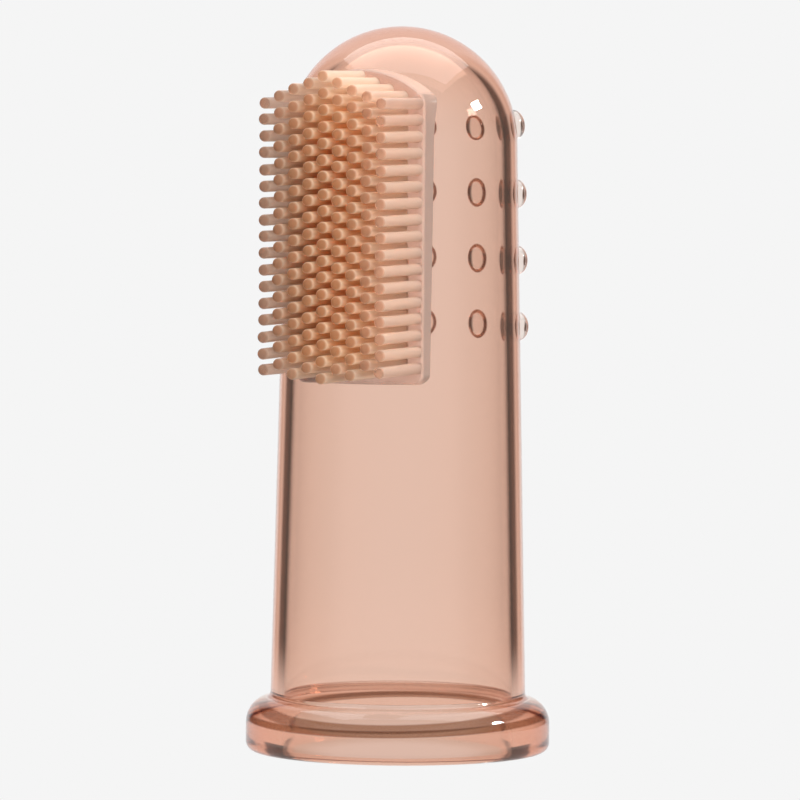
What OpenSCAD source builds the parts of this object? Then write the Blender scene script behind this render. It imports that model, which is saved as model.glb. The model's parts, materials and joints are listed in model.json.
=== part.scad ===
// Finger toothbrush for pets: a soft silicone sleeve that is worn on a fingertip.
// A closed, slightly tapered tube ends in a dome. A dense brush stands on a flat pad on one
// side, and rows of low massage nubs stand on the other. A thick rim surrounds the mouth.
//
// Frame: the origin is the centre of the open mouth, +Z runs up the bore to the dome,
// and the bristles point along -Y. All sizes are in millimetres and degrees.

/* [Sleeve] */
// Height from the mouth to the top of the dome
total_h = 55; // [54:0.5:60]
// Outer radius of the dome, and of the sleeve just below it
tip_r = 8.75; // [8.6:0.05:8.9]
// Outer radius of the sleeve where it leaves the rim
foot_r = 9.7; // [9.5:0.05:10]
// Wall thickness of the sleeve
wall = 1; // [0.8:0.05:1.2]
// Wall thickness at the very top of the dome
dome_wall = 1.2; // [1.2:0.05:1.5]

/* [Rim] */
// Outer radius of the thick rim around the mouth
rim_r = 11.55; // [11.3:0.05:12.5]
// Height of the rim
rim_h = 3.9; // [3.5:0.1:4.5]
// Rounding of the rim's upper edge
rim_top_round = 1.6; // [0.8:0.1:1.7]
// Rounding of the rim's lower edge
rim_foot_round = 0.7; // [0.3:0.1:1]

/* [Brush pad] */
// Distance from the bore's axis to the pad's flat face
pad_face = 9.3; // [9.3:0.05:9.8]
// Width of the pad
pad_w = 10.2; // [10.2:0.1:11]
// Height of the pad's lower edge above the mouth
pad_foot_z = 28.3; // [27:0.1:28.4]
// Height of the pad's arched top above the mouth
pad_peak_z = 51.75; // [51.75:0.05:52.2]
// Radius of the arched top
pad_arch_r = 7.2; // [6.8:0.1:8]
// Rounding of the two shoulders, where the arched top meets the sides
pad_shoulder_r = 1.2; // [0.8:0.1:1.2]
// Rounding of the pad's two lower corners
pad_corner_r = 0.8; // [0.4:0.1:1]

/* [Bristles] */
// Diameter of a bristle at its root
bristle_d = 0.8; // [0.7:0.02:0.84]
// Diameter of a bristle at its tip
bristle_tip_d = 0.74; // [0.6:0.02:0.8]
// Length of a bristle from the pad's face to its tip
bristle_l = 7.9; // [5:0.1:9]
// Distance between bristles in one column
bristle_pitch = 1.23; // [1.2:0.01:1.24]
// Distance between two columns
column_pitch = 1.14; // [1.1:0.005:1.14]
// Height of the lowest bristle above the mouth
first_bristle_z = 29.05; // [29:0.05:29.1]
// How much higher each column starts than the one nearer the middle
column_rise = 0.125; // [0:0.005:0.15]
// Distance from the pad's face out to the centre of a bristle's round foot
foot_lift = 0.25; // [0.25:0.01:0.3]
// Radial gap between a bristle's round foot and its socket in the pad
socket_gap = 0.05; // [0.05:0.01:0.06]

/* [Massage nubs] */
// Radius of a nub at its base
nub_r = 1.05; // [0.8:0.05:1.2]
// Height of a nub above the sleeve
nub_h = 0.8; // [0.6:0.05:1]
// Height of the top row of nubs above the mouth
nub_top_z = 47.45; // [47.45:0.05:48.5]
// Distance between rows of nubs
nub_row_pitch = 5.07; // [4:0.01:5.5]
// Angle between columns of nubs, around the bore's axis
nub_column_angle = 34; // [30:0.5:36]
// Angle of the middle of the nub field, from straight opposite the brush
nub_field_angle = -9; // [-12:0.5:12]

/* [Hidden] */
$fn = 64;
fine_fn = 240;

silicone = [0.88, 0.72, 0.63];
silicone_dense = [0.74, 0.50, 0.34];

dome_z = total_h - tip_r;
bore_tip_r = tip_r - wall;
bore_foot_r = foot_r - wall;
middle_column = 5;
middle_count = 19;
nub_rows = 4;
nub_columns = 4;
pad_root_y = 5;
nub_stem = 0.5;
nub_side = 0.1;
nub_steps = 6;

// Points along an arc of radius r about a centre c, from angle a to angle b
function arc(c, r, a, b, steps) =
    [for (i = [0 : steps]) let (t = a + (b - a) * i / steps) c + r * [cos(t), sin(t)]];

// Outer radius of the tapered sleeve at height z
function skin_r(z) = tip_r + (foot_r - tip_r) * (dome_z - z) / (dome_z - rim_h);

// The tapered outside of the sleeve, as a solid
module sleeve_form() {
    translate([0, 0, rim_h])
        cylinder(h = dome_z - rim_h, r1 = foot_r, r2 = tip_r);
}

// The upper half of a ball that stands on the plane z = dome_z
module half_ball(radius, centre_z) {
    intersection() {
        translate([0, 0, centre_z]) sphere(r = radius);
        translate([0, 0, dome_z]) cylinder(h = 2 * tip_r, r = 2 * tip_r);
    }
}

module finger_sleeve() {
    color(silicone)
    difference() {
        sleeve_form();
        translate([0, 0, rim_h])
            cylinder(h = dome_z - rim_h, r1 = bore_foot_r, r2 = bore_tip_r);
    }
}

module fingertip_dome() {
    color(silicone)
    difference() {
        half_ball(tip_r, dome_z);
        translate([0, 0, dome_z + wall - dome_wall]) sphere(r = bore_tip_r);
    }
}

module mouth_rim() {
    top = [rim_r - rim_top_round, rim_h - rim_top_round];
    foot = [rim_r - rim_foot_round, rim_foot_round];
    color(silicone)
    rotate_extrude()
        polygon(concat(
            [[bore_foot_r, 0]],
            arc(foot, rim_foot_round, -90, 0, 6),
            arc(top, rim_top_round, 0, 90, 8),
            [[bore_foot_r, rim_h]]));
}

module pad_outline() {
    half = pad_w / 2;
    arch_z = pad_peak_z - pad_arch_r;
    corner_x = half - pad_corner_r;
    corner_z = pad_foot_z + pad_corner_r;
    shoulder_x = half - pad_shoulder_r;
    shoulder_angle = acos(shoulder_x / (pad_arch_r - pad_shoulder_r));
    shoulder_z = arch_z + (pad_arch_r - pad_shoulder_r) * sin(shoulder_angle);
    polygon(concat(
        arc([corner_x, corner_z], pad_corner_r, -90, 0, 6),
        arc([shoulder_x, shoulder_z], pad_shoulder_r, 0, shoulder_angle, 5),
        arc([0, arch_z], pad_arch_r, shoulder_angle, 180 - shoulder_angle, 16),
        arc([-shoulder_x, shoulder_z], pad_shoulder_r, 180 - shoulder_angle, 180, 5),
        arc([-corner_x, corner_z], pad_corner_r, 180, 270, 6)));
}

module brush_pad() {
    color(silicone_dense)
    difference() {
        translate([0, -pad_root_y, 0]) rotate([90, 0, 0])
            linear_extrude(height = pad_face - pad_root_y) pad_outline();
        sleeve_form();
        half_ball(tip_r, dome_z);
        bristle_sockets();
    }
}

// Puts its child at the centre of each bristle's foot in one column, numbered from -X to +X
module at_bristles(column) {
    side = abs(column - middle_column);
    start_z = first_bristle_z + side * column_rise + (side % 2) * bristle_pitch / 2;
    count = middle_count - ceil(side / 2);
    for (i = [0 : count - 1])
        translate([(column - middle_column) * column_pitch, -pad_face - foot_lift,
                   start_z + i * bristle_pitch])
            children();
}

// Ball-shaped sockets for the feet of all bristles; the lowest go through to the sleeve
module bristle_sockets() {
    for (column = [1 : 2 * middle_column - 1])
        at_bristles(column) sphere(r = bristle_d / 2 + socket_gap);
}

// One bristle along -Y, with a round foot and a round tip
module bristle() {
    root_r = bristle_d / 2;
    tip_ball_r = bristle_tip_d / 2;
    rotate([90, 0, 0])
    rotate_extrude()
        polygon(concat(
            arc([0, 0], root_r, -90, 0, 6),
            arc([0, bristle_l - foot_lift - tip_ball_r], tip_ball_r, 0, 90, 6)));
}

module bristle_column(column) {
    color(silicone_dense)
    at_bristles(column) bristle();
}

// One low round nub on a short round stem, standing along +Y on the plane y = 0
module nub() {
    rotate([-90, 0, 0])
    rotate_extrude()
        polygon(concat(
            [[0, -nub_stem], [nub_r, -nub_stem]],
            [for (i = [0 : nub_steps]) let (t = 90 * i / nub_steps)
                [nub_r * cos(t), nub_side + (nub_h - nub_side) * sin(t)]]));
}

// One column of nubs, numbered from +X round the back to -X
module nub_column(column) {
    turn = nub_field_angle + (column - (nub_columns + 1) / 2) * nub_column_angle;
    color(silicone)
    for (row = [0 : nub_rows - 1]) {
        z = nub_top_z - row * nub_row_pitch;
        rotate([0, 0, turn])
            if (z > dome_z)
                difference() {
                    translate([0, 0, dome_z]) rotate([asin((z - dome_z) / tip_r), 0, 0])
                        translate([0, tip_r, 0]) nub();
                    half_ball(tip_r, dome_z, $fn = fine_fn);
                }
            else
                difference() {
                    translate([0, skin_r(z), z]) nub();
                    sleeve_form($fn = fine_fn);
                }
    }
}

finger_sleeve();
fingertip_dome();
mouth_rim();
brush_pad();
bristle_column(1);  // bristle_column_1
bristle_column(2);  // bristle_column_2
bristle_column(3);  // bristle_column_3
bristle_column(4);  // bristle_column_4
bristle_column(5);  // bristle_column_5
bristle_column(6);  // bristle_column_6
bristle_column(7);  // bristle_column_7
bristle_column(8);  // bristle_column_8
bristle_column(9);  // bristle_column_9
nub_column(1);  // nub_column_1
nub_column(2);  // nub_column_2
nub_column(3);  // nub_column_3
nub_column(4);  // nub_column_4
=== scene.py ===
"""Looks of the pet finger toothbrush: clear tinted silicone, in a pale studio that turns with the
camera."""

import json
import math
import random

import bmesh
import bpy
from mathutils import Matrix, Vector


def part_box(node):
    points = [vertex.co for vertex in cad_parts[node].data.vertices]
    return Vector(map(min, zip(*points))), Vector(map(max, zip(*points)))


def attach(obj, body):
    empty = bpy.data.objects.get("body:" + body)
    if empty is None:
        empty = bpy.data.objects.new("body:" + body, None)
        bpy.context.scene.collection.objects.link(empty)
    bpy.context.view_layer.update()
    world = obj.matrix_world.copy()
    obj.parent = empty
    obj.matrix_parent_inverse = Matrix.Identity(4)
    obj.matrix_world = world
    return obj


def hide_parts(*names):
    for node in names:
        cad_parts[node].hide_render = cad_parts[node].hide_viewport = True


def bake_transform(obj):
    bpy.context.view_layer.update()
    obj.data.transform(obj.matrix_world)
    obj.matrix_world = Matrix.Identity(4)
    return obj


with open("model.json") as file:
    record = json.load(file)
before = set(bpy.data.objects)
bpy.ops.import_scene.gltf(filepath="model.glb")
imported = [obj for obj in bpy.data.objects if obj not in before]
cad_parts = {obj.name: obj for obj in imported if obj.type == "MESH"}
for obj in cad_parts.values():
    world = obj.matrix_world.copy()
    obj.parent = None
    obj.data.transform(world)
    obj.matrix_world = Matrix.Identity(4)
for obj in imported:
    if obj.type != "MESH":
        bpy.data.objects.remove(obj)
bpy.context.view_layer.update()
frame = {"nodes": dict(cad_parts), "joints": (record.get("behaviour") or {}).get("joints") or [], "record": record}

MM = 0.001

# ---------------------------------------------------------------- sizes from the CAD frame

sleeve_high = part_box("finger_sleeve")[1]
dome_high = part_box("fingertip_dome")[1]
rim_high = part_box("mouth_rim")[1]
pad_low, pad_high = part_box("brush_pad")
mounts = {m["name"]: m for m in frame["record"]["mounts"]}
joints = {j["child"]: j for j in frame["joints"]}

BORE_R = mounts["mouth_bore"]["dims"]["r_mm"] * MM
FOOT_R = sleeve_high.x  # outer radius of the sleeve at the mouth
RIM_R = rim_high.x
RIM_H = rim_high.z
TIP_R = dome_high.x  # outer radius of the dome
TOP_Z = dome_high.z
DOME_Z = TOP_Z - TIP_R  # height of the dome's centre
WALL = FOOT_R - BORE_R
TAPER = math.degrees(math.atan((FOOT_R - TIP_R) / (DOME_Z - RIM_H)))
PAD_FACE = -pad_low.y  # how far the pad's flat face is from the bore's axis

# ---------------------------------------------------------------- sizes that the boxes don't hold

DOME_WALL = 1.2 * MM
RIM_TOP = 4.1 * MM
RIM_SHOULDER = (1.85 * MM, 2.0 * MM)  # width and height of the rim's oval shoulder
RIM_SHADE_BAND = (2.72 * MM, 3.12 * MM)  # between these heights the rim's painted band of shade is full
RIM_FOOT_ROUND = 0.7 * MM
MOUTH_ROUND = 0.35 * MM
NECK_ROUND = 0.35 * MM
PAD_CORNER_R = 0.8 * MM
PAD_SHOULDER_R = 1.2 * MM
PAD_ARCH_R = 7.2 * MM
PAD_EDGE_ROUND = 0.5 * MM
PAD_EDGE_STEP = 0.2 * MM  # between the three rings just inside the rounded edge
PAD_FLAT_INSET = 1.6 * MM  # how far inside the outline the flat face's own rings start
PAD_FOOT_FLARE = 0.02 * MM
PAD_ARCH_Z = pad_high.z - PAD_ARCH_R  # height of the arch's centre
PAD_SKIN_GAP = 0.02 * MM  # how far the pad stands off the sleeve where its face would sink into it
PAD_SKIN_BLEND = 0.12 * MM
LEAST_ROUND = 0.05 * MM  # smallest corner that is left when an outline is moved inward
BRISTLE_COLUMNS = 9
BRISTLE_PITCH = 1.23 * MM
BRISTLE_CAD_R = 0.4 * MM
BRISTLE_R = 0.42 * MM
BRISTLE_END = 0.22 * MM  # how deep the rounding of a bristle's end is
BRISTLE_FLARE = 0.04 * MM  # how much wider a bristle is where it leaves the pad
BRISTLE_FLARE_H = 0.25 * MM
BRISTLE_SETTLE = 0.6 * MM  # how far up a bristle its outline still leans with the pad's edge
BRISTLE_SHORTER = 0.03 * MM  # spread of how much shorter than the longest a bristle is
BRISTLE_LEAN = 0.003  # spread of the leans, in radians
NUB_COLUMNS = 4
NUB_ROWS = 4
NUB_R = 1.1 * MM
NUB_H = 0.8 * MM
NUB_TOP_LIFT = 0.2 * MM  # how much further up the dome the top row stands
NUB_RINGS = 6  # rings across a nub's underside, which follows the sleeve
SKIN = 0.012 * MM  # how far the rim, pad, nubs and bristles sink into what they grow from
AXIS = 1e-9  # a point nearer to the axis than this is on it


# ---------------------------------------------------------------- mesh helpers

def arc(centre_r, centre_z, radius, start, end, steps):
    """Points (r, z) along an arc, angles in degrees from +r towards +z."""
    points = []
    for i in range(steps + 1):
        t = math.radians(start + (end - start) * i / steps)
        points.append((centre_r + radius * math.cos(t), centre_z + radius * math.sin(t)))
    return points


def oval(centre_r, centre_z, radii, start, end, steps):
    """Points (r, z) along an ellipse with the two radii, angles as in arc."""
    return [(centre_r + r * radii[0], centre_z + z * radii[1])
            for r, z in arc(0, 0, 1, start, end, steps)]


def line(a, b, steps):
    """Points between a and b, without the two ends."""
    return [(a[0] + (b[0] - a[0]) * i / steps, a[1] + (b[1] - a[1]) * i / steps)
            for i in range(1, steps)]


def round_angles(count):
    """The angles of count points round a circle."""
    return [2 * math.pi * i / count for i in range(count)]


def new_piece(name, bm, material):
    """A mesh object from a bmesh, with its normals outward."""
    bmesh.ops.recalc_face_normals(bm, faces=bm.faces)
    mesh = bpy.data.meshes.new(name)
    bm.to_mesh(mesh)
    bm.free()
    mesh.materials.append(material)
    piece = bpy.data.objects.new(name, mesh)
    bpy.context.scene.collection.objects.link(piece)
    return piece


def bridge(bm, low, high):
    """Quads between two closed rings of the same length."""
    n = len(low)
    for i in range(n):
        bm.faces.new((low[i], low[(i + 1) % n], high[(i + 1) % n], high[i])).smooth = True


def fan(bm, ring, point):
    """Triangles from a closed ring to one point."""
    tip = bm.verts.new(point)
    n = len(ring)
    for i in range(n):
        bm.faces.new((ring[i], ring[(i + 1) % n], tip)).smooth = True
    return tip


def sharpen(ring):
    """Marks the edges along a closed ring as sharp."""
    n = len(ring)
    wanted = {frozenset((ring[i], ring[(i + 1) % n])) for i in range(n)}
    for vert in ring:
        for edge in vert.link_edges:
            if frozenset(edge.verts) in wanted:
                edge.smooth = False


def skin_r(z):
    """Outer radius of the sleeve or dome at height z."""
    if z > DOME_Z:
        return math.sqrt(max(TIP_R ** 2 - (z - DOME_Z) ** 2, 0.0))
    return TIP_R + (FOOT_R - TIP_R) * (DOME_Z - z) / (DOME_Z - RIM_H)


# ---------------------------------------------------------------- sleeve and rim

def joined(runs, steps):
    """One outline from several runs of points; steps says how finely to divide each straight
    between two runs."""
    outline = list(runs[0])
    for run, count in zip(runs[1:], steps):
        outline += line(outline[-1], run[0], count) + run
    return outline


def revolve(name, outline, material, around=256):
    """A closed shell or ring from an outline (r, z). Where the outline starts and ends on the axis,
    those two points become single vertices."""
    bm = bmesh.new()
    rings = []
    for r, z in outline:
        if r > AXIS:
            rings.append([bm.verts.new((r * math.cos(t), r * math.sin(t), z))
                          for t in round_angles(around)])
    for low, high in zip(rings, rings[1:]):
        bridge(bm, low, high)
    if outline[0][0] < AXIS:
        fan(bm, rings[0], (0, 0, outline[0][1]))
        fan(bm, rings[-1], (0, 0, outline[-1][1]))
    else:
        bridge(bm, rings[-1], rings[0])
    return new_piece(name, bm, material)


def build_sleeve(material):
    """The tube and dome in one piece: from the top down the outside to the mouth, and up the inside
    to the top again."""
    bore_tip_r = TIP_R - WALL
    inner_z = DOME_Z + WALL - DOME_WALL
    dome = [(0, TOP_Z)] + arc(0, DOME_Z, TIP_R, 90, TAPER, 48)[1:]
    mouth = arc(BORE_R + MOUTH_ROUND, MOUTH_ROUND, MOUTH_ROUND, 270, 180, 6)
    vault = arc(0, inner_z, bore_tip_r, TAPER, 90, 48)[:-1] + [(0, inner_z + bore_tip_r)]
    runs = [dome, [(FOOT_R, RIM_H)], [(FOOT_R, 0)], mouth, [(BORE_R, RIM_H)], vault]
    return revolve("silicone_sleeve", joined(runs, [60, 8, 4, 6, 60]), material)


def build_rim(material):
    """The thick ring around the mouth; its inner side sits a skin's depth inside the sleeve."""
    inner = FOOT_R - SKIN
    width, height = RIM_SHOULDER
    shoulder = oval(RIM_R - width, RIM_TOP - height, RIM_SHOULDER, 78, 0, 24)
    toe = arc(RIM_R - RIM_FOOT_ROUND, RIM_FOOT_ROUND, RIM_FOOT_ROUND, 0, -90, 12)
    neck = arc(FOOT_R + NECK_ROUND, shoulder[0][1] + NECK_ROUND, NECK_ROUND, 180 + TAPER, 270, 8)
    runs = [neck, shoulder, toe, [(inner, 0)], [(inner, RIM_TOP + NECK_ROUND * 0.8)]]
    return revolve("silicone_rim", joined(runs, [1, 4, 4, 10]), material)


# ---------------------------------------------------------------- brush pad

def pad_outline(inset):
    """Points (x, z) round the pad, moved inward by inset, or outward where inset is negative."""
    half = pad_high.x - inset
    corner = max(PAD_CORNER_R - inset, LEAST_ROUND)
    shoulder = max(PAD_SHOULDER_R - inset, LEAST_ROUND)
    arch = PAD_ARCH_R - inset
    foot = pad_low.z + inset
    corner_x, shoulder_x = half - corner, half - shoulder
    angle = math.degrees(math.acos(shoulder_x / (arch - shoulder)))
    shoulder_z = PAD_ARCH_Z + (arch - shoulder) * math.sin(math.radians(angle))
    runs = [arc(corner_x, foot + corner, corner, -90, 0, 12),
            arc(shoulder_x, shoulder_z, shoulder, 0, angle, 12),
            arc(0, PAD_ARCH_Z, arch, angle, 180 - angle, 60),
            arc(-shoulder_x, shoulder_z, shoulder, 180 - angle, 180, 12),
            arc(-corner_x, foot + corner, corner, 180, 270, 12)]
    outline = joined(runs, [60, 1, 1, 60])
    return outline + line(outline[-1], outline[0], 32)


def skin_y(x, z):
    """How far the sleeve's or dome's surface stands from the bore's axis plane at (x, z)."""
    return math.sqrt(max(skin_r(z) ** 2 - x ** 2, 0))


def smooth_max(a, b, blend):
    """The larger of a and b, rounded off where they cross."""
    return max(a, b) + max(blend - abs(a - b), 0) ** 2 / (4 * blend)


def pad_front(x, z, drop):
    """Distance of the pad's surface from the axis plane, where its edge has dropped by drop."""
    return smooth_max(PAD_FACE - drop, skin_y(x, z) + PAD_SKIN_GAP, PAD_SKIN_BLEND)


def edge_drop(inset):
    """How far the pad's rounded edge has dropped at inset from the outline."""
    if inset > PAD_EDGE_ROUND:
        return 0.0
    across = 1 - inset / PAD_EDGE_ROUND
    return PAD_EDGE_ROUND * (1 - math.sqrt(max(1 - across ** 2, 0)))


def shrink_to_middle(bm, ring, depth):
    """Fills a closed ring with smaller copies of itself down to a point in the pad's middle; depth
    gives y at (x, z)."""
    middle = (pad_low.z + pad_high.z) / 2
    steps = 28
    low = ring
    for i in range(1, steps):
        s = 1 - i / steps
        inner = [(v.co.x * s, middle + (v.co.z - middle) * s) for v in ring]
        high = [bm.verts.new((x, depth(x, z), z)) for x, z in inner]
        bridge(bm, low, high)
        low = high
    fan(bm, low, (0, depth(0, middle), middle))


def build_pad(material):
    """A low plate with a rounded edge, whose sides flare into the sleeve and whose back follows it.
    The attribute deep is 1 on its sides, which are mattest."""
    bm = bmesh.new()
    deep = bm.verts.layers.float.new("deep")
    rings = [[bm.verts.new((x, -pad_front(x, z, 0), z)) for x, z in pad_outline(PAD_FLAT_INSET)]]
    steps = 14
    for i in range(-3, steps + 1):
        if i < 0:
            inset = PAD_EDGE_ROUND - i * PAD_EDGE_STEP
        else:
            inset = PAD_EDGE_ROUND * (1 - math.sin(math.pi / 2 * i / steps))
        drop = edge_drop(inset)
        rings.append([bm.verts.new((x, -pad_front(x, z, drop), z)) for x, z in pad_outline(inset)])
    walls = 12
    for i in range(1, walls + 1):
        s = i / walls
        ring = []
        for x, z in pad_outline(-PAD_FOOT_FLARE * s ** 3):
            top = pad_front(x, z, PAD_EDGE_ROUND)
            foot = skin_y(x, z) - SKIN
            ring.append(bm.verts.new((x, -(foot + (top - foot) * (1 - s) ** 1.5), z)))
        rings.append(ring)
    for low, high in zip(rings, rings[1:]):
        bridge(bm, low, high)
    shrink_to_middle(bm, rings[0], lambda x, z: -pad_front(x, z, 0))
    for ring in rings[-walls - steps // 2:]:
        for vert in ring:
            vert[deep] = 1
    shrink_to_middle(bm, rings[-1], lambda x, z: SKIN - skin_y(x, z))
    sharpen(rings[-1])
    return new_piece("brush_pad_silicone", bm, material)


def pad_inset(x, z):
    """How far inside the pad's outline the point (x, z) is, near its edges."""
    return min(pad_high.x - abs(x), z - pad_low.z, PAD_ARCH_R - math.hypot(x, z - PAD_ARCH_Z))


# ---------------------------------------------------------------- nubs and bristles

def build_nubs(column, material):
    """Four low round nubs that follow the skin of the sleeve."""
    verts = frame["nodes"][f"nub_column_{column}"].data.vertices
    mean = sum((v.co for v in verts), Vector()) / len(verts)
    azimuth = math.atan2(mean.y, mean.x)
    low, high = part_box(f"nub_column_{column}")
    top_z, foot_z = high.z - NUB_R, low.z + NUB_R
    bm = bmesh.new()
    circle = round_angles(48)
    rises = 14
    for row in range(NUB_ROWS):
        z0 = foot_z + (top_z - foot_z) * row / (NUB_ROWS - 1)
        if row == NUB_ROWS - 1:
            z0 += NUB_TOP_LIFT

        def place(u, v, lift):
            """A point beside the nub's middle by u, above it by v, and out of the skin by lift."""
            z = z0 + v
            angle = azimuth + u / skin_r(z0)
            slope = (z - DOME_Z) / TIP_R if z > DOME_Z else 0.0
            out = skin_r(z) + lift * math.sqrt(1 - slope ** 2)
            return (out * math.cos(angle), out * math.sin(angle), z + lift * slope)

        def ring(radius, lift):
            """A ring of points round the nub's middle, all out of the skin by lift."""
            return [bm.verts.new(place(radius * math.cos(t), radius * math.sin(t), lift))
                    for t in circle]

        rings = [ring(NUB_R, -SKIN)]
        for i in range(1, rises):
            t = math.pi / 2 * i / rises
            rings.append(ring(NUB_R * math.cos(t), NUB_H * math.sin(t)))
        for a, b in zip(rings, rings[1:]):
            bridge(bm, a, b)
        fan(bm, rings[-1], place(0, 0, NUB_H))
        inner = rings[0]
        for i in range(1, NUB_RINGS):
            smaller = ring(NUB_R * (1 - i / NUB_RINGS), -SKIN)
            bridge(bm, inner, smaller)
            inner = smaller
        fan(bm, inner, place(0, 0, -SKIN))
        sharpen(rings[0])
    return new_piece(f"massage_nubs_{column}", bm, material)


def bristle_profile(length):
    """Outline (r, distance from the pad) of one bristle, from its root to its tip."""
    points = [(BRISTLE_R + BRISTLE_FLARE, -SKIN)]
    for i in range(1, 6):
        t = math.pi / 2 * i / 5
        points.append((BRISTLE_R + BRISTLE_FLARE * (1 - math.sin(t)),
                       BRISTLE_FLARE_H * (1 - math.cos(t))))
    end = length - BRISTLE_END
    points += line(points[-1], (BRISTLE_R, end), 14)
    return points + oval(0, end, (BRISTLE_R, BRISTLE_END), 0, 90, 8)


def root_front(x, z):
    """Distance of the pad's surface from the axis plane under a bristle."""
    return pad_front(x, z, edge_drop(pad_inset(x, z)))


def build_bristles(column, material, rng):
    """One column of bristles, each with its own slight lean. The attribute tip is 1 on their round
    ends. The attribute deep goes from about 0.2 on the brush's outermost bristles to 1 in its
    middle, and sets how much painted light and shade their colour carries."""
    root_x = joints[f"bristles_{column}"]["pos_m"][0]
    low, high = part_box(f"bristle_column_{column}")
    first_z, last_z = low.z + BRISTLE_CAD_R, high.z - BRISTLE_CAD_R
    count = round((last_z - first_z) / BRISTLE_PITCH) + 1
    bm = bmesh.new()
    tip = bm.verts.layers.float.new("tip")
    deep = bm.verts.layers.float.new("deep")
    middle = (BRISTLE_COLUMNS + 1) / 2
    across = 1 - (abs(column - middle) / middle) ** 2.5
    circle = [(math.cos(t), math.sin(t)) for t in round_angles(24)]
    for i in range(count):
        z = first_z + (last_z - first_z) * i / (count - 1)
        lean_x, lean_z = rng.gauss(0, BRISTLE_LEAN), rng.gauss(0, BRISTLE_LEAN)
        root = root_front(root_x, z)
        reach = -low.y - root - abs(rng.gauss(0, BRISTLE_SHORTER))
        outline = bristle_profile(reach)
        # inside sets how much painted light and shade this bristle's colour carries
        inside = across * min((i + 3) / 4, (count - i + 2) / 5, 1)  # fades over the end rows
        rings = []
        for r, along in outline[:-1]:
            drift = max(along, 0) ** 2 / reach
            settle = max(1 - along / BRISTLE_SETTLE, 0)
            rounding = (along - reach + BRISTLE_END) / BRISTLE_END
            ring = []
            for c, s in circle:
                x, up = root_x + lean_x * drift + r * c, z + lean_z * drift + r * s
                start = root + (root_front(x, up) - root) * settle
                vert = bm.verts.new((x, -(start + along), up))
                vert[tip] = min(max(rounding * 1.4, 0), 1)
                vert[deep] = inside
                ring.append(vert)
            rings.append(ring)
        for a, b in zip(rings, rings[1:]):
            bridge(bm, a, b)
        point = (root_x + lean_x * reach, -(root + outline[-1][1]), z + lean_z * reach)
        end = fan(bm, rings[-1], point)
        end[tip] = 1
        foot = fan(bm, list(reversed(rings[0])), (root_x, SKIN - root, z))
        end[deep] = foot[deep] = inside
        sharpen(rings[0])
    return new_piece(f"bristles_{column}_silicone", bm, material)


# ---------------------------------------------------------------- materials

IOR = 1.41  # of silicone rubber
GRAIN_SCALE = 900.0  # grain of the mould's surface, about 1 mm across
HAZE_BEHIND = 0.6  # share of the haze that light comes through from behind


def node_tree(owner):
    """Empties the node tree of a material or world."""
    owner.use_nodes = True
    nodes, links = owner.node_tree.nodes, owner.node_tree.links
    nodes.clear()
    return nodes, links


def math_node(nodes, links, operation, a, b=None):
    """The result of a math operation on values that are numbers or other nodes' outputs."""
    node = nodes.new("ShaderNodeMath")
    node.operation = operation
    for socket, value in zip(node.inputs, (a, b)):
        if value is None:
            continue
        if isinstance(value, (int, float)):
            socket.default_value = value
        else:
            links.new(value, socket)
    return node.outputs[0]


def ramp(nodes, links, value, start, end, low=0.0, high=1.0, smooth=False):
    """Goes from low, where value is at start, to high, where it is at end."""
    node = nodes.new("ShaderNodeMapRange")
    if smooth:
        node.interpolation_type = "SMOOTHSTEP"
    node.inputs["From Min"].default_value = start
    node.inputs["From Max"].default_value = end
    node.inputs["To Min"].default_value = low
    node.inputs["To Max"].default_value = high
    links.new(value, node.inputs["Value"])
    return node.outputs[0]


def mix_colour(nodes, links, factor, a, b):
    """A mix of two colours, each a colour or another node's output."""
    mix = nodes.new("ShaderNodeMix")
    mix.data_type = "RGBA"
    links.new(factor, mix.inputs[0])
    for socket, colour in ((mix.inputs[6], a), (mix.inputs[7], b)):
        if isinstance(colour, tuple):
            socket.default_value = colour
        else:
            links.new(colour, socket)
    return mix.outputs[2]


def mix_shader(nodes, links, factor, a, b):
    """A mix of two shaders; factor is a float or another node's output."""
    mix = nodes.new("ShaderNodeMixShader")
    if isinstance(factor, float):
        mix.inputs[0].default_value = factor
    else:
        links.new(factor, mix.inputs[0])
    links.new(a, mix.inputs[1])
    links.new(b, mix.inputs[2])
    return mix.outputs[0]


def attribute(nodes, name):
    """The value of a vertex attribute."""
    node = nodes.new("ShaderNodeAttribute")
    node.attribute_name = name
    return node.outputs["Fac"]


def silicone(name, tint, absorb, density, roughness):
    """Clear tinted silicone: light is absorbed by length inside it, so thick and edge-on places are
    deeper."""
    material = bpy.data.materials.new(name)
    nodes, links = node_tree(material)
    output = nodes.new("ShaderNodeOutputMaterial")
    surface = nodes.new("ShaderNodeBsdfPrincipled")
    surface.inputs["Base Color"].default_value = tint
    surface.inputs["Transmission Weight"].default_value = 1.0
    surface.inputs["IOR"].default_value = IOR
    place = nodes.new("ShaderNodeTexCoord")
    grain = nodes.new("ShaderNodeTexNoise")
    grain.inputs["Scale"].default_value = GRAIN_SCALE
    grain.inputs["Detail"].default_value = 3.0
    links.new(place.outputs["Object"], grain.inputs["Vector"])
    rough = ramp(nodes, links, grain.outputs["Fac"], 0.0, 1.0, *roughness)
    links.new(rough, surface.inputs["Roughness"])
    links.new(surface.outputs["BSDF"], output.inputs["Surface"])
    inside = nodes.new("ShaderNodeVolumeAbsorption")
    inside.inputs["Color"].default_value = absorb
    inside.inputs["Density"].default_value = density
    links.new(inside.outputs["Volume"], output.inputs["Volume"])
    return material


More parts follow.
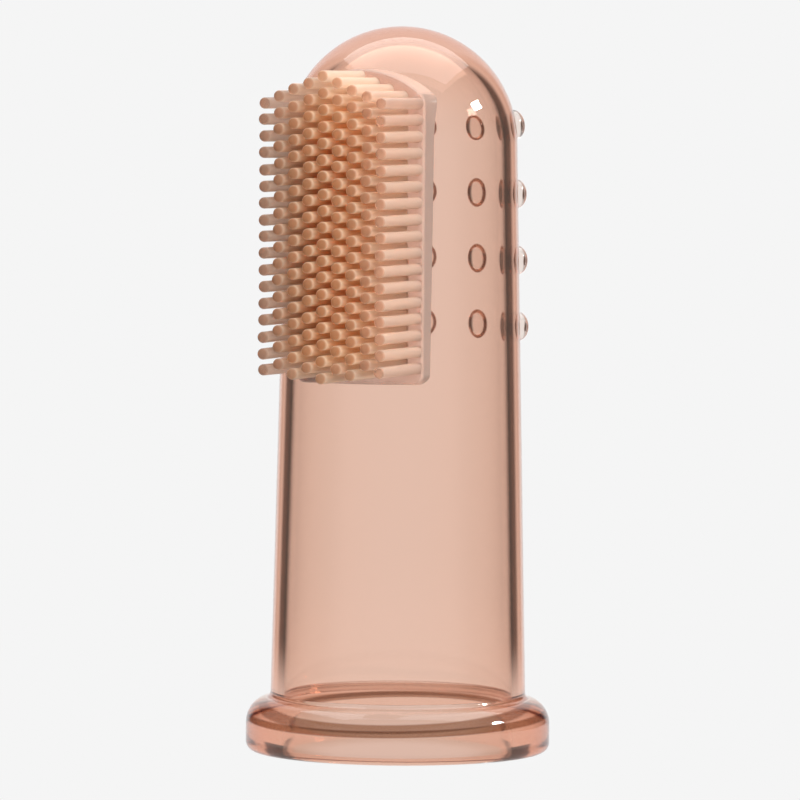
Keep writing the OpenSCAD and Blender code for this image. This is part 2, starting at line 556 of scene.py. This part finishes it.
def add_painted_shade_ring(material, colour, low, high, blur, lean):
    """Paints a band of shade into the tint between two heights: the dark band round the rim's
    shoulder is painted shade. The ring climbs by lean per unit of length towards the back."""
    nodes, links = material.node_tree.nodes, material.node_tree.links
    surface = nodes["Principled BSDF"]
    place = nodes.new("ShaderNodeTexCoord")
    split = nodes.new("ShaderNodeSeparateXYZ")
    links.new(place.outputs["Object"], split.inputs[0])
    climb = math_node(nodes, links, "MULTIPLY", split.outputs["Y"], lean)
    height = math_node(nodes, links, "SUBTRACT", split.outputs["Z"], climb)
    above = ramp(nodes, links, height, low - blur, low, smooth=True)
    below = ramp(nodes, links, height, high, high + blur, smooth=True)
    share = math_node(nodes, links, "SUBTRACT", above, below)
    tint = tuple(surface.inputs["Base Color"].default_value)
    links.new(mix_colour(nodes, links, share, tint, colour), surface.inputs["Base Color"])


def add_haze_and_painted_light(material, shares, sides, ends):
    """Adds the haze of a matt mould, with painted light and shade. Each pair holds for 0 and 1 of the
    attribute deep: how much haze there is, its colour on the sides of bristles, and its colour on their
    ends; where a pair's two colours differ, the change is painted light and shade."""
    nodes, links = material.node_tree.nodes, material.node_tree.links
    output = nodes["Material Output"]
    clear = output.inputs["Surface"].links[0].from_socket
    deep = attribute(nodes, "deep")
    side = mix_colour(nodes, links, deep, *sides)
    end = mix_colour(nodes, links, deep, *ends)
    colour = mix_colour(nodes, links, attribute(nodes, "tip"), side, end)
    front = nodes.new("ShaderNodeBsdfDiffuse")
    back = nodes.new("ShaderNodeBsdfTranslucent")
    for shader in (front, back):
        links.new(colour, shader.inputs["Color"])
    milk = mix_shader(nodes, links, HAZE_BEHIND, front.outputs[0], back.outputs[0])
    share = ramp(nodes, links, deep, 0.0, 1.0, *shares)
    links.new(mix_shader(nodes, links, share, clear, milk), output.inputs["Surface"])


# ---------------------------------------------------------------- studio

BACKDROP = 0.913  # brightness of the backdrop and of the floor outside the rim
DIM_SIDES = 0.10
SIDE_ANGLES = (21, 31)  # degrees from straight behind, between which the backdrop gets dim
BEHIND_CAMERA = 0.45  # brightness of the room behind the camera
FLOOR_R = 0.2
FLOOR_FADE = (0.03, 0.12)  # radii where the floor starts to fade, and where it is gone
FLOOR_SHADOW_RADII = (BORE_R - 4.2 * MM, BORE_R + 0.3 * MM)  # radii between which the painted contact shadow gets darkest
FLOOR_SHADOW_END = (RIM_R - 1.0 * MM, RIM_R - 0.5 * MM)  # radii between which the painted shadow gives way to the pale floor
# painted shade inside the mouth, tinted like light come through the silicone, and painted contact shadow under the
# rim
FLOOR_SHADE_IN_MOUTH = (0.78, 0.69, 0.65, 1)
FLOOR_SHADOW_UNDER_RIM = (0.68, 0.55, 0.48, 1)
CAMERA_AZIMUTH = 20  # degrees round from straight in front of the brush
CAMERA_DISTANCE = 0.480
CAMERA_HEIGHT = 0.052
CAMERA_TARGET = 0.485  # share of the object's height
CAMERA_ROLL = 0.43  # degrees
LENS, SENSOR = 285, 36
LAMP_DISTANCE = 0.5  # of each lamp from a point as far in front of the camera, near the object


def studio_world():
    """A pale backdrop straight behind the object and above it, and dim sides, all turned with the
    camera."""
    world = bpy.data.worlds.new("studio")
    bpy.context.scene.world = world
    nodes, links = node_tree(world)
    place = nodes.new("ShaderNodeTexCoord")
    split = nodes.new("ShaderNodeSeparateXYZ")
    unit = nodes.new("ShaderNodeVectorMath")
    unit.operation = "NORMALIZE"
    links.new(place.outputs["Camera"], unit.inputs[0])
    links.new(unit.outputs[0], split.inputs[0])
    across = math_node(nodes, links, "ABSOLUTE", split.outputs["X"])
    start, end = (math.sin(math.radians(angle)) for angle in SIDE_ANGLES)
    inside = ramp(nodes, links, across, start, end, 1.0, 0.0, smooth=True)
    behind = ramp(nodes, links, split.outputs["Z"], -0.2, 0.3, smooth=True)
    bright = math_node(nodes, links, "MULTIPLY", inside, behind)
    level = ramp(nodes, links, bright, 0.0, 1.0, DIM_SIDES, BACKDROP)
    fill = ramp(nodes, links, split.outputs["Z"], -0.2, -0.6, 0.0, BEHIND_CAMERA)
    background = nodes.new("ShaderNodeBackground")
    background.inputs["Color"].default_value = (1, 1, 1, 1)
    links.new(math_node(nodes, links, "MAXIMUM", level, fill), background.inputs["Strength"])
    output = nodes.new("ShaderNodeOutputWorld")
    links.new(background.outputs[0], output.inputs["Surface"])


def floor():
    """A pale round floor that fades out into the backdrop. Inside the mouth it carries painted shade,
    tinted like light come through the silicone, and a darker painted contact shadow under the rim."""
    bm = bmesh.new()
    bmesh.ops.create_circle(bm, cap_ends=True, segments=128, radius=FLOOR_R)
    mesh = bpy.data.meshes.new("floor")
    bm.to_mesh(mesh)
    bm.free()
    obj = bpy.data.objects.new("floor", mesh)
    bpy.context.scene.collection.objects.link(obj)
    material = bpy.data.materials.new("floor_pale_painted_shadow")
    nodes, links = node_tree(material)
    output = nodes.new("ShaderNodeOutputMaterial")
    place = nodes.new("ShaderNodeTexCoord")
    length = nodes.new("ShaderNodeVectorMath")
    length.operation = "LENGTH"
    links.new(place.outputs["Object"], length.inputs[0])
    radius = length.outputs["Value"]
    # painted contact shadow under the rim and painted shade inside the mouth
    under_rim_shadow = ramp(nodes, links, radius, *FLOOR_SHADOW_RADII, smooth=True)
    outside = ramp(nodes, links, radius, *FLOOR_SHADOW_END, smooth=True)
    painted_shadow = mix_colour(nodes, links, under_rim_shadow, FLOOR_SHADE_IN_MOUTH, FLOOR_SHADOW_UNDER_RIM)
    painted_shadow = mix_colour(nodes, links, outside, painted_shadow, (BACKDROP, BACKDROP, BACKDROP, 1))
    glow = nodes.new("ShaderNodeEmission")
    links.new(painted_shadow, glow.inputs["Color"])
    clear = nodes.new("ShaderNodeBsdfTransparent")
    far = ramp(nodes, links, radius, *FLOOR_FADE, smooth=True)
    fading = mix_shader(nodes, links, far, glow.outputs[0], clear.outputs[0])
    links.new(fading, output.inputs["Surface"])
    mesh.materials.append(material)


def camera():
    """Just below the top of the object, a little round from the brush, looking slightly down."""
    target = Vector((0, 0, TOP_Z * CAMERA_TARGET))
    azimuth = math.radians(CAMERA_AZIMUTH)
    data = bpy.data.cameras.new("camera")
    data.sensor_width = SENSOR
    data.lens = LENS
    data.clip_start, data.clip_end = 0.01, 50
    cam = bpy.data.objects.new("camera", data)
    bpy.context.scene.collection.objects.link(cam)
    cam.location = (CAMERA_DISTANCE * math.sin(azimuth), -CAMERA_DISTANCE * math.cos(azimuth),
                    CAMERA_HEIGHT)
    look = (target - cam.location).to_track_quat("-Z", "Y")
    roll = Matrix.Rotation(math.radians(CAMERA_ROLL), 3, "Z")
    cam.rotation_mode = "QUATERNION"
    cam.rotation_quaternion = (look.to_matrix() @ roll).to_quaternion()
    bpy.context.scene.camera = cam
    return cam


def softbox(cam, name, direction, size, power, shiny=True):
    """An area lamp that stays in place relative to the camera: direction is right, up, towards the
    camera. Where it isn't shiny, it lights the silicone but makes no highlight on it."""
    data = bpy.data.lights.new(name, "AREA")
    data.shape = "RECTANGLE"
    data.size, data.size_y = size
    data.energy = power
    lamp = bpy.data.objects.new(name, data)
    bpy.context.scene.collection.objects.link(lamp)
    lamp.parent = cam
    lamp.visible_glossy = lamp.visible_transmission = shiny
    place = Vector(direction).normalized() * LAMP_DISTANCE
    lamp.location = place - Vector((0, 0, LAMP_DISTANCE))
    lamp.rotation_mode = "QUATERNION"
    lamp.rotation_quaternion = place.to_track_quat("Z", "Y")


# ---------------------------------------------------------------- assembly

def install(piece, slot, *nodes):
    """Hides the CAD nodes that a piece stands for; piece and slot are not used."""
    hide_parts(*nodes)


TINT = (0.97, 0.93, 0.91, 1)
ABSORB = (0.90, 0.36, 0.05, 1)
RIM_SHADE_COLOUR = (0.25, 0.13, 0.075, 1)
PAD_HAZE = ((0.92, 0.70, 0.60, 1), (0.93, 0.72, 0.61, 1))
# second colour of each pair is for the brush's middle: paler sides and deeper orange ends, painted light and shade
# for light scattered and absorbed among the close bristles
SIDE_HAZE_AND_PAINTED_LIGHT = ((0.78, 0.59, 0.51, 1), (1.0, 0.86, 0.67, 1))
END_HAZE_AND_PAINTED_SHADE = ((0.60, 0.41, 0.32, 1), (0.53, 0.285, 0.15, 1))

body_material = silicone("silicone_body", TINT, ABSORB, 300.0, (0.02, 0.07))
rim_material = silicone("silicone_rim", TINT, ABSORB, 60.0, (0.02, 0.07))
# painted shade: a dark band round the rim's shoulder, deeper than the silicone's own tint
add_painted_shade_ring(rim_material, RIM_SHADE_COLOUR, *RIM_SHADE_BAND, blur=0.12 * MM, lean=0.05)
brush_material = silicone("silicone_bristle", (0.96, 0.82, 0.72, 1), (0.81, 0.32, 0, 1), 130.0,
                          (0.15, 0.25))
add_haze_and_painted_light(brush_material, (0.20, 0.85), SIDE_HAZE_AND_PAINTED_LIGHT, END_HAZE_AND_PAINTED_SHADE)
pad_material = silicone("silicone_pad", TINT, ABSORB, 120.0, (0.06, 0.12))
add_haze_and_painted_light(pad_material, (0.26, 0.42), PAD_HAZE, PAD_HAZE)
nub_material = silicone("silicone_nub", TINT, (0.82, 0.42, 0.16, 1), 110.0, (0.05, 0.10))

sleeve = build_sleeve(body_material)
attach(sleeve, "sleeve")
install(sleeve, "silicone_sleeve", "finger_sleeve", "fingertip_dome")

rim = build_rim(rim_material)
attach(rim, "sleeve")
install(rim, "silicone_sleeve", "mouth_rim")

pad = build_pad(pad_material)
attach(pad, "sleeve")
install(pad, "silicone_brush", "brush_pad")

for column in range(1, NUB_COLUMNS + 1):
    nubs = build_nubs(column, nub_material)
    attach(nubs, "sleeve")
    install(nubs, "silicone_sleeve", f"nub_column_{column}")

for column in range(1, BRISTLE_COLUMNS + 1):
    bristles = build_bristles(column, brush_material, random.Random(column))
    install(bristles, "silicone_brush", f"bristle_column_{column}")
    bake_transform(bristles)

studio_world()
floor()
cam = camera()
softbox(cam, "key", (0.88, 0.47, 0.06), (0.05, 0.09), 3.0)
softbox(cam, "top", (0.05, 1.0, -0.1), (0.7, 0.5), 2.6)
softbox(cam, "front", (0.45, 0.55, 1.0), (0.5, 0.5), 3.8, shiny=False)

scene = bpy.context.scene
scene.view_settings.view_transform = "Standard"
scene.cycles.max_bounces = 32
scene.cycles.diffuse_bounces = 10
scene.cycles.transmission_bounces = 32
scene.cycles.glossy_bounces = 8
scene.cycles.transparent_max_bounces = 16
